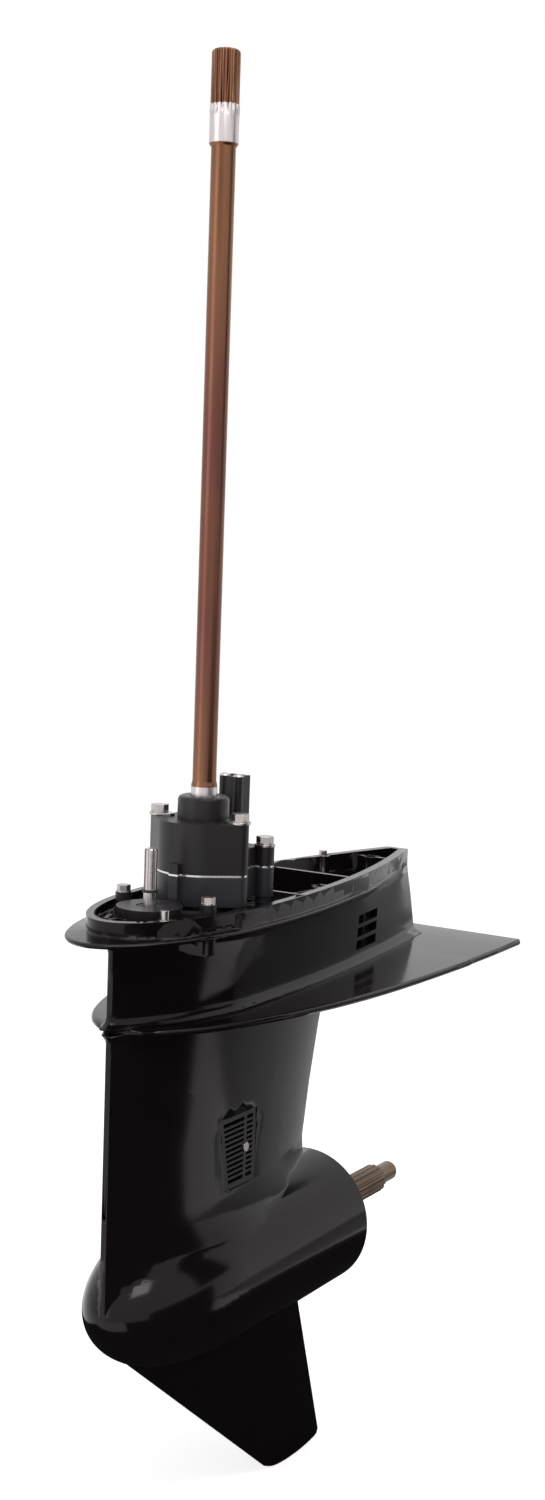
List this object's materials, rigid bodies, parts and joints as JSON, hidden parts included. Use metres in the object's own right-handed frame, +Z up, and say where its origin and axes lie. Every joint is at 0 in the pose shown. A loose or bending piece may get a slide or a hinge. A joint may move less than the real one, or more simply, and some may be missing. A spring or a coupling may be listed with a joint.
{
  "type": "outboard motor lower unit",
  "caption": "Outboard lower unit: gearcase with skeg and anti-ventilation plate, water pump, drive shaft, bevel gears, dog clutch, shift linkage and splined propeller shaft.",
  "frame": {"origin": "on the mating deck of the gearcase, where the drive shaft's axis passes through it", "axes": "+X aft along the propeller shaft, +Y to starboard, +Z up along the drive shaft"},
  "size_m": [0.58, 0.222, 1.2485],
  "materials": {
    "gearcase_paint": "gloss black enamel over die-cast aluminium",
    "carrier_paint": "black enamel, satin where it is machined",
    "drive_steel": "ground shaft steel, heat tinted copper brown",
    "prop_steel": "ground shaft steel with a bronze tint",
    "shift_steel": "bright shaft steel, slightly pink",
    "pump_black": "satin black glass-filled plastic",
    "pump_grey": "satin dark grey plastic",
    "cover_black": "satin black plastic",
    "fastener": "plated steel, slightly pink",
    "plate_steel": "bright rolled stainless sheet",
    "gasket": "dark gasket sheet",
    "rubber": "black rubber",
    "gear_steel": "cut and hardened gear steel",
    "bearing_steel": "polished bearing steel",
    "screen_plastic": "satin black moulded screen"
  },
  "bodies": {
    "gearcase": {"gearcase_housing": "gearcase_paint", "bearing_carrier": "carrier_paint", "carrier_ring_nut": "carrier_paint", "carrier_tab_washer": "plate_steel", "carrier_o_ring": "rubber", "prop_shaft_seals": "rubber", "carrier_needle_bearing": "bearing_steel", "reverse_gear_bearing_outer": "bearing_steel", "forward_gear_bearing_cup": "bearing_steel", "drive_shaft_bearing_cup": "bearing_steel", "drive_shaft_needle_bearing": "bearing_steel", "lower_pump_housing": "pump_grey", "drive_shaft_seals": "rubber", "pump_gasket": "gasket", "pump_wear_plate": "plate_steel", "pump_cup_insert": "plate_steel", "pump_housing": "pump_black", "pump_bolts": "fastener", "pump_washers": "fastener", "water_outlet_housing": "pump_black", "water_outlet_screws": "fastener", "water_tube_grommet": "rubber", "shift_cover_plate": "cover_black", "shift_cover_bolts": "fastener", "shift_shaft_seal": "rubber", "water_intake_screen_port": "screen_plastic", "water_intake_screen_starboard": "screen_plastic", "intake_screen_screws": "fastener", "oil_drain_screw": "fastener", "oil_level_screw": "fastener", "oil_screw_gaskets": "gasket", "deck_dowels": "fastener"},
    "drive_line": {"drive_shaft": "drive_steel", "impeller": "rubber", "impeller_key": "gear_steel", "pinion_gear": "gear_steel", "pinion_nut": "gear_steel", "drive_shaft_bearing_cone": "bearing_steel", "drive_shaft_bearing_rollers": "bearing_steel"},
    "forward_drive": {"forward_gear": "gear_steel", "forward_gear_bearing_cone": "bearing_steel", "forward_gear_bearing_rollers": "bearing_steel"},
    "reverse_drive": {"reverse_gear": "gear_steel", "reverse_gear_bearing_inner": "bearing_steel", "reverse_gear_bearing_balls": "bearing_steel"},
    "propeller_shaft": {"prop_shaft": "prop_steel"},
    "clutch": {"clutch_dog": "gear_steel", "clutch_pin": "gear_steel", "clutch_ring_spring": "gear_steel", "clutch_plunger": "gear_steel"},
    "shift_rod": {"shift_shaft": "shift_steel", "shift_shaft_o_ring": "rubber", "shift_crank": "gear_steel"},
    "slider": {"shift_slider": "gear_steel"}
  },
  "joints": [
    {"name": "drive_shaft_spin", "type": "hinge", "parent": "gearcase", "child": "drive_line", "pos_m": [0, 0, 0], "axis": [0, 0, 1], "continuous": true},
    {"name": "forward_gear_spin", "type": "hinge", "parent": "gearcase", "child": "forward_drive", "pos_m": [0, 0, -0.332], "axis": [1, 0, 0], "continuous": true},
    {"name": "reverse_gear_spin", "type": "hinge", "parent": "gearcase", "child": "reverse_drive", "pos_m": [0, 0, -0.332], "axis": [1, 0, 0], "continuous": true},
    {"name": "prop_shaft_spin", "type": "hinge", "parent": "gearcase", "child": "propeller_shaft", "pos_m": [0, 0, -0.332], "axis": [1, 0, 0], "continuous": true},
    {"name": "shift_rod_turn", "type": "hinge", "parent": "gearcase", "child": "shift_rod", "pos_m": [-0.074, 0, 0], "axis": [0, 0, 1], "range_deg": [-29.5, 29.5]},
    {"name": "shift_slider_slide", "type": "slide", "parent": "gearcase", "child": "slider", "axis": [1, 0, 0], "range_m": [-0.005, 0.005]},
    {"name": "clutch_slide", "type": "slide", "parent": "propeller_shaft", "child": "clutch", "axis": [1, 0, 0], "range_m": [-0.0053, 0.0053]}
  ],
  "couplings": [
    {"joint": "forward_gear_spin", "follows": "drive_shaft_spin", "ratio": 0.5},
    {"joint": "reverse_gear_spin", "follows": "drive_shaft_spin", "ratio": -0.5},
    {"joint": "shift_rod_turn", "follows": "shift_slider_slide", "rad_per_m": 97.7},
    {"joint": "clutch_slide", "follows": "shift_slider_slide", "ratio": 1}
  ]
}
